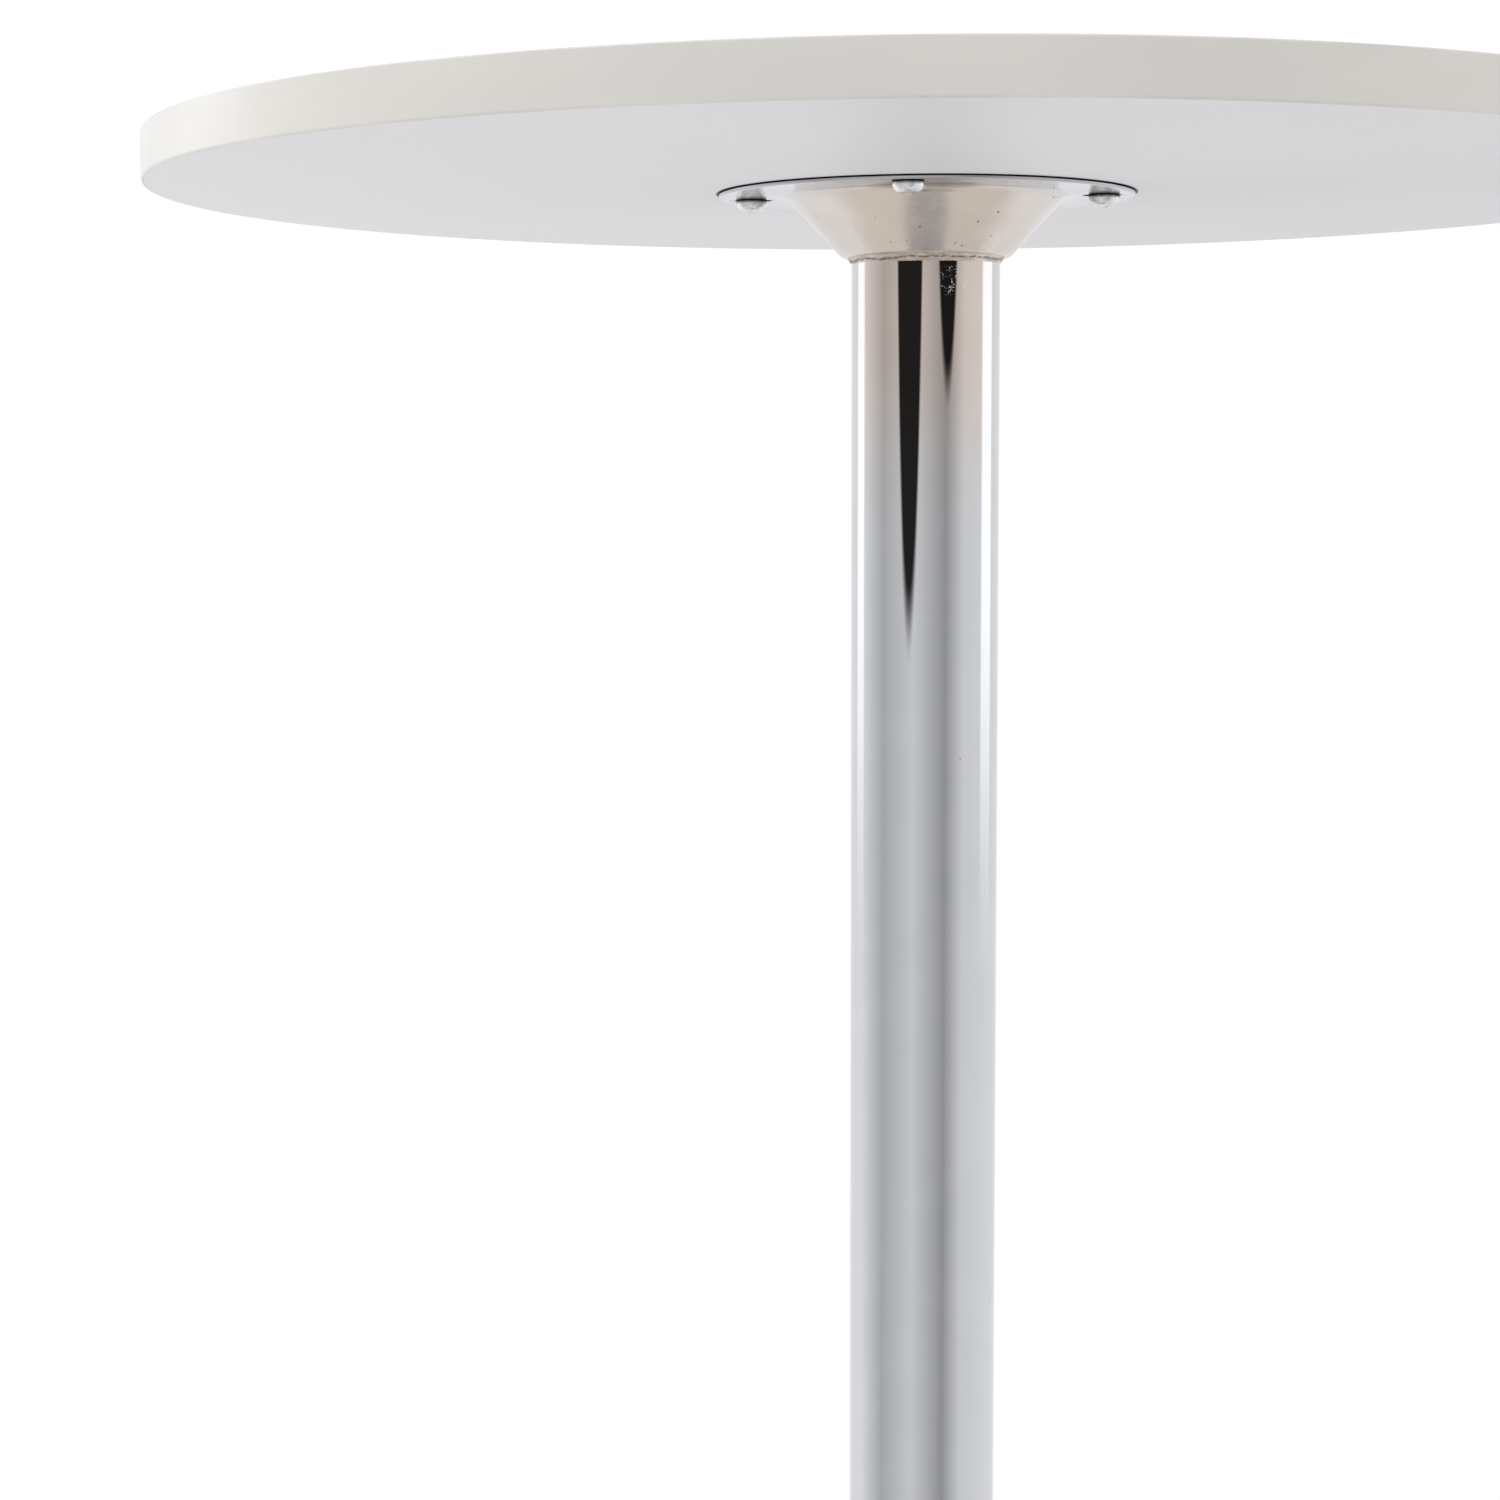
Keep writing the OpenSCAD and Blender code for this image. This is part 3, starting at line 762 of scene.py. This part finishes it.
def make_pole():
    wall = 1.5 * MM
    rows = 60
    ease = 0.3 * MM
    side = POLE_TOP_Z - POLE_Z - 2 * ease
    outer = [(POLE_R, POLE_Z + ease + side * i / rows) for i in range(rows + 1)]
    profile = (
        [(POLE_R - wall, POLE_Z), (POLE_R - ease, POLE_Z)] + outer
        + [(POLE_R - ease, POLE_TOP_Z), (POLE_R - wall, POLE_TOP_Z)]
    )
    bm = bmesh.new()
    lathe(bm, profile, ROUND)
    finish_mesh("pole_tube", bm, replaces=["pole"], look="chrome")


def make_gasket():
    inner = 7 * MM
    soft = (POLE_Z - BASE_Z) / 2
    profile = [(inner, BASE_Z)] + arc((GASKET_R - soft, BASE_Z + soft), soft, -90, 90, 10) + [(inner, POLE_Z)]
    bm = bmesh.new()
    lathe(bm, profile, 128)
    finish_mesh("neck_gasket_ring", bm, replaces=["neck_gasket"], look="rubber")


# ---- Base ----

SHELL_T = 1.2 * MM
LAND_R = POLE_R + 4 * MM
LAND_ROUND = 6 * MM
LAND_TURN = 40
SHOULDER_ROUND = 10 * MM
SHOULDER_Z = 34 * MM
BOLT_HOLE_R = 6.5 * MM


def shell_face(inset):
    """One face of the trumpet shell from land to rim, as the CAD has it, inset from the outer face."""
    steps = 60
    turn = math.radians(LAND_TURN)
    curve_r = BASE_R - SHOULDER_ROUND
    neck_r = LAND_R + LAND_ROUND * math.sin(turn)
    neck_z = BASE_Z - LAND_ROUND * (1 - math.cos(turn))
    drop, run = neck_z - SHOULDER_Z, curve_r - neck_r
    power = math.tan(turn) * run / drop
    face = arc((LAND_R, BASE_Z - LAND_ROUND), LAND_ROUND - inset, 90, 90 - LAND_TURN)
    for i in range(1, steps):
        r = neck_r + run * i / steps
        z = SHOULDER_Z + drop * ((curve_r - r) / run) ** power
        slope = -power * drop / run * ((curve_r - r) / run) ** (power - 1)
        size = math.hypot(1, slope)
        face.append((r + inset * slope / size, z - inset / size))
    face += arc((curve_r, SHOULDER_Z - SHOULDER_ROUND), SHOULDER_ROUND - inset, 90, 0, 12)
    return face + [(BASE_R - inset, BASE_RIM_Z)]


def make_base_shell():
    profile = [(BOLT_HOLE_R, BASE_Z)] + shell_face(0) + shell_face(SHELL_T)[::-1]
    profile += [(BOLT_HOLE_R, BASE_Z - SHELL_T)]
    bm = bmesh.new()
    lathe(bm, profile, ROUND)
    finish_mesh("base_trumpet", bm, replaces=["base_shell"], look="chrome_base")


def make_rim_trim():
    soft = 1 * MM
    tip = 0.5 * MM
    inner = BASE_R - SHELL_T - (TRIM_R - BASE_R)
    seat_in, seat_out = BASE_R - SHELL_T, BASE_R
    profile = (
        arc((inner + soft, TRIM_Z + soft), soft, 180, 270, 6)
        + arc((TRIM_R - soft, TRIM_Z + soft), soft, 270, 360, 6)
        + arc((TRIM_R - tip, TRIM_TOP_Z - tip), tip, 0, 90, 4)
        + [(seat_out, TRIM_TOP_Z), (seat_out, BASE_RIM_Z), (seat_in, BASE_RIM_Z), (seat_in, TRIM_TOP_Z)]
        + arc((inner + tip, TRIM_TOP_Z - tip), tip, 90, 180, 4)
    )
    bm = bmesh.new()
    lathe(bm, profile, ROUND)
    finish_mesh("rim_trim_ring", bm, replaces=["rim_trim"], look="rubber")


# ---- Centre bolt and levelling glides ----

BOLT_FLATS, BOLT_PITCH = 19 * MM, 1.75 * MM
GLIDE_FLATS, GLIDE_PITCH = 13 * MM, 1.25 * MM
GLIDE_R = 165 * MM
FOOT_T = 3.6 * MM


def cut_hexagon(bm, across_flats, z0, z1, corner_turn=0.0):
    """Turns the round bar between two heights into a hexagon, keeping its turned-off corners."""
    for vert in bm.verts:
        if z0 - 1e-6 <= vert.co.z <= z1 + 1e-6:
            turn = math.atan2(vert.co.y, vert.co.x)
            flat = (turn - corner_turn) % (math.pi / 3) - math.pi / 6
            reach = across_flats / 2 / math.cos(flat)
            r = math.hypot(vert.co.x, vert.co.y)
            if r > reach:
                vert.co.x *= reach / r
                vert.co.y *= reach / r


def hex_bar(across_flats, z0, z1):
    """Outline of a hexagonal head's turned blank. The lower end has the larger chamfer."""
    corner, half = across_flats / math.sqrt(3), across_flats / 2
    chamfer = 1.2 * MM
    return [(half - 0.3 * MM, z0), (half + 0.1 * MM, z0 + chamfer * 0.3), (corner, z0 + chamfer),
            (corner, z1 - chamfer * 0.15), (corner - 0.3 * MM, z1)]


def make_centre_bolt():
    low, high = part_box("centre_bolt")
    seat = low.z + 7.5 * MM
    shank_r, tip = 5.9 * MM, 1 * MM
    rows = 260
    plain_to = seat + 34 * MM
    profile = [(0, low.z + 0.4 * MM), (6.2 * MM, low.z + 0.4 * MM), (6.8 * MM, low.z)]
    profile += hex_bar(BOLT_FLATS, low.z, seat) + [(shank_r, seat), (shank_r, plain_to)]
    profile += [(shank_r, plain_to + (high.z - tip - plain_to) * i / rows) for i in range(1, rows + 1)]
    profile += [(shank_r - tip, high.z), (0, high.z)]
    bm = bmesh.new()
    lathe(bm, profile, 72, surface=thread_surface(BOLT_PITCH, 0.75 * MM, plain_to, high.z - tip))
    cut_hexagon(bm, BOLT_FLATS, low.z, seat)
    finish_mesh("hex_bolt", bm, replaces=["centre_bolt"], look="zinc", sharp=30)


def make_stem(number, turn, centre):
    """Threaded stem with a hexagon and a flat foot that sits in the pad's socket."""
    low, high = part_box(f"glide_stem_{number}")
    hex_low, hex_high = low.z + 5 * MM, low.z + 9 * MM
    shank_r, tip = 3.95 * MM, 0.8 * MM
    foot_r, neck_r, ease = 6 * MM, 4 * MM, 0.4 * MM
    rows = 170
    profile = [(0, low.z), (5.4 * MM, low.z), (foot_r, low.z + 0.6 * MM), (foot_r, low.z + FOOT_T - ease),
               (5.6 * MM, low.z + FOOT_T), (neck_r, low.z + FOOT_T), (neck_r, hex_low)]
    profile += hex_bar(GLIDE_FLATS, hex_low, hex_high) + [(shank_r, hex_high)]
    start = hex_high + 0.2 * MM
    profile += [(shank_r, start + (high.z - tip - start) * i / rows) for i in range(rows + 1)]
    profile += [(shank_r - tip, high.z), (0, high.z)]
    bm = bmesh.new()
    thread = thread_surface(GLIDE_PITCH, 0.6 * MM, hex_high + 0.6 * MM, high.z - tip)
    lathe(bm, profile, 72, surface=thread)
    cut_hexagon(bm, GLIDE_FLATS, hex_low, hex_high, turn)
    bmesh.ops.translate(bm, verts=bm.verts, vec=(*centre, 0))
    finish_mesh(f"threaded_stem_{number}", bm, body=f"stem_{number}",
                replaces=[f"glide_stem_{number}"], look="zinc", sharp=30)


def make_pad(number, centre):
    """Moulded pad with a socket for the stem's foot and grip ribs round its edge."""
    low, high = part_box(f"glide_pad_{number}")
    outer, shoulder, soft = (high.x - low.x) / 2, 14 * MM, 1.5 * MM
    bore, socket, ease = 4.3 * MM, 6.05 * MM, 0.4 * MM
    edge, crown = 0.6 * MM, 1 * MM
    tread_z = low.z + 0.8 * MM
    socket_z = 3 * MM
    lip_z = socket_z + FOOT_T + 0.3 * MM
    profile = [(0, tread_z), (9 * MM, tread_z), (9.8 * MM, low.z)]
    profile += arc((outer - soft, low.z + soft), soft, -90, 0, 8)
    profile += arc((outer - edge, low.z + 2.8 * MM), edge, 0, 50, 4)
    profile += arc((shoulder - crown, high.z - crown), crown, 50, 90, 5)
    profile += [(bore + ease, high.z), (bore, high.z - ease), (bore, lip_z), (socket, lip_z)]
    profile += [(socket, socket_z), (0, socket_z)]

    def ribbed(co, angle):
        r = math.hypot(co.x, co.y)
        if r < outer - 1 * MM:
            return co
        groove = 0.35 * MM * max(0.0, math.sin(angle * 40)) ** 2
        return Vector((co.x * (r - groove) / r, co.y * (r - groove) / r, co.z))

    bm = bmesh.new()
    lathe(bm, profile, 240, centre=centre, surface=ribbed)
    finish_mesh(f"moulded_pad_{number}", bm, body=f"pad_{number}",
                replaces=[f"glide_pad_{number}"], look="plastic", sharp=40)


def make_glide(number):
    turn = math.radians(45 + 90 * (number - 1))
    centre = (GLIDE_R * math.cos(turn), GLIDE_R * math.sin(turn))
    make_stem(number, turn, centre)
    make_pad(number, centre)


# ---- Studio ----

# The floor's radius, and the shares of it over which it fades out
FLOOR_R = 1.15
FLOOR_FADE = (0.55, 0.98)


def make_floor():
    """Pale floor disc that fades out towards its edge."""
    bm = bmesh.new()
    bmesh.ops.create_circle(bm, cap_ends=True, segments=128, radius=FLOOR_R)
    mesh = bpy.data.meshes.new("studio_floor")
    bm.to_mesh(mesh)
    bm.free()
    floor = bpy.data.objects.new("studio_floor", mesh)
    bpy.context.scene.collection.objects.link(floor)
    made, t, shader, place = material("studio_floor")
    grain = t.noise(place, 3.0, 3.0)
    t.feed(shader.inputs["Base Color"], t.mix(grain, (0.78, 0.745, 0.70, 1), (0.80, 0.765, 0.72, 1)))
    shader.inputs["Roughness"].default_value = 0.6
    fade_from, fade_to = (FLOOR_R * share for share in FLOOR_FADE)
    t.feed(shader.inputs["Alpha"], t.step(radius_of(t, place), fade_from, fade_to, 1.0, 0.0))
    mesh.materials.append(made)


def studio_level(level):
    """Radiance of a studio surface that chrome shows at this display level."""
    return linear(level) / CHROME_LEVEL


# Plain pale walls, as (azimuth, display level in the chrome). Azimuth 0 is the camera's side, 90 the right
WALL = [
    (-180, 0.80), (-115, 0.84), (-70, 0.65), (-20, 0.77), (30, 0.56), (60, 0.78), (120, 0.82), (180, 0.80),
]
# The camera's side of the room is warmer above the horizon, between these azimuths
WARM_SIDES = (-110, 96)
# Two dark oval flags, which give the chrome its contrast: azimuth, half width, elevation, half height and
# level. FLAG_EDGE is where their soft edge lies, as the square of the share of the way to the outline.
FLAGS = [(-27, 22, 9, 13, 0.12), (32, 20, 9, 8, 0.10)]
FLAG_EDGE = (0.8, 1.05)
# Tall strip lights at both sides: azimuths of their edges, and where they fade out at the foot
STRIPS = [(-132, -112), (97, 122)]
STRIP_FOOT = (-11, -2)
WARM_WALL, COOL_WALL = (1.0, 0.885, 0.825, 1), (0.965, 0.975, 1.0, 1)
CEILING = (0.58, 0.58, 0.59, 1)
# Elevations over which cool turns to warm and wall to ceiling, and the strength of the plain backdrop
HORIZON, CEILING_START = (-1.5, 2.6), (22.0, 48.0)
BACKDROP = 1.02


def make_world():
    """Walls that light the table and that chrome mirrors, and a plain backdrop for the camera alone."""
    world = bpy.data.worlds.new("studio")
    bpy.context.scene.world = world
    world.use_nodes = True
    world.node_tree.nodes.clear()
    t = Tree(world.node_tree)
    direction = t.node("ShaderNodeTexCoord").outputs["Generated"]
    x, y, z = t.node("ShaderNodeSeparateXYZ", {0: direction}).outputs
    azimuth = t.math("ARCTAN2", x, t.math("MULTIPLY", y, -1.0))
    azimuth = t.math("MULTIPLY", azimuth, 180 / math.pi)
    height = t.math("MULTIPLY", t.math("ARCSINE", z), 180 / math.pi)
    along = t.math("MULTIPLY_ADD", azimuth, 1 / 360, 0.5)
    level_scale = studio_level(1.0)
    wall = t.ramp(along, [((a + 180) / 360, studio_level(level) / level_scale) for a, level in WALL])
    for place, half_width, middle, half_height, level in FLAGS:
        rise = t.math("MULTIPLY_ADD", height, 1 / half_height, -middle / half_height)
        across = t.math("MULTIPLY_ADD", azimuth, 1 / half_width, -place / half_width)
        spread = t.math("ADD", t.math("MULTIPLY", across, across), t.math("MULTIPLY", rise, rise))
        shade = studio_level(level) / level_scale
        wall = t.mix(t.step(spread, *FLAG_EDGE, 1.0, 0.0), wall, (shade, shade, shade, 1))
    for left, right in STRIPS:
        lit = t.math("MULTIPLY", t.window(azimuth, left, right, 2.0), t.step(height, *STRIP_FOOT))
        wall = t.mix(lit, wall, (1, 1, 1, 1))
    warm = t.math("MULTIPLY", t.step(height, *HORIZON), t.window(azimuth, *WARM_SIDES, 3.0))
    wall = t.mix(1.0, wall, t.mix(warm, COOL_WALL, WARM_WALL), "MULTIPLY")
    wall = t.mix(t.step(height, *CEILING_START), wall, CEILING)
    light_path = t.node("ShaderNodeLightPath").outputs["Is Camera Ray"]
    studio = t.node("ShaderNodeBackground", {"Color": wall, "Strength": level_scale})
    white = t.node("ShaderNodeBackground", {"Color": (1, 1, 1, 1), "Strength": BACKDROP})
    both = t.node("ShaderNodeMixShader", {0: light_path, 1: studio.outputs[0], 2: white.outputs[0]})
    t.node("ShaderNodeOutputWorld", {"Surface": both.outputs[0]})


def make_light(name, place, aim, size, power):
    """Area light that neither the camera nor the chrome sees."""
    data = bpy.data.lights.new(name, "AREA")
    data.shape = "RECTANGLE"
    data.size, data.size_y = size
    data.energy = power
    light = bpy.data.objects.new(name, data)
    bpy.context.scene.collection.objects.link(light)
    light.location = place
    light.rotation_euler = (Vector(aim) - Vector(place)).to_track_quat("-Z", "Y").to_euler()
    light.visible_camera = False
    light.visible_glossy = False


# ---- Build ----

make_world()
make_floor()
make_light("overhead_softbox", (-1.4, -0.2, 2.7), (0, 0, 0.5), (1.8, 1.8), 12)
make_light("front_softbox", (-0.6, -2.6, 2.0), (0, 0, TOP_Z), (1.2, 0.8), 11)
make_light("floor_bounce", (-1.2, 0, 0.03), (-1.2, 0, 1), (1.2, 1.2), 3.8)
make_light("left_softbox", (-2.3, 0.75, 1.25), (-0.2, -0.2, TOP_Z), (0.6, 1.5), 4)

make_edge_band()
INSERT_HOLES = [circle(INSERT_R, 40, turned([(0, 0)], SCREW_TURN + 90 * i, SCREW_R)[0]) for i in range(4)]
make_laminate("top_face", TOP_Z - LAMINATE_T, TOP_Z, "top", "top_laminate", [])
make_laminate("under_face", UNDERSIDE_Z, UNDERSIDE_Z + LAMINATE_T, "underside", "underside_laminate",
              INSERT_HOLES)
make_flange()
make_screws()
make_weld()
make_pole()
make_gasket()
make_base_shell()
make_rim_trim()
make_centre_bolt()
for number in range(1, 5):
    make_glide(number)

NODE_LOOKS = {
    "top_core": "board", "threaded_inserts": "brass", "pole_plug": "steel", "plug_weld": "weld",
    "spacer_tube": "steel", "ballast": "cast", "clamp_washer": "zinc", "spring_washer": "zinc",
    "glide_bushes": "brass",
}
for name, look in NODE_LOOKS.items():
    mesh = nodes[name].data
    mesh.materials.clear()
    mesh.materials.append(MATERIALS[look])
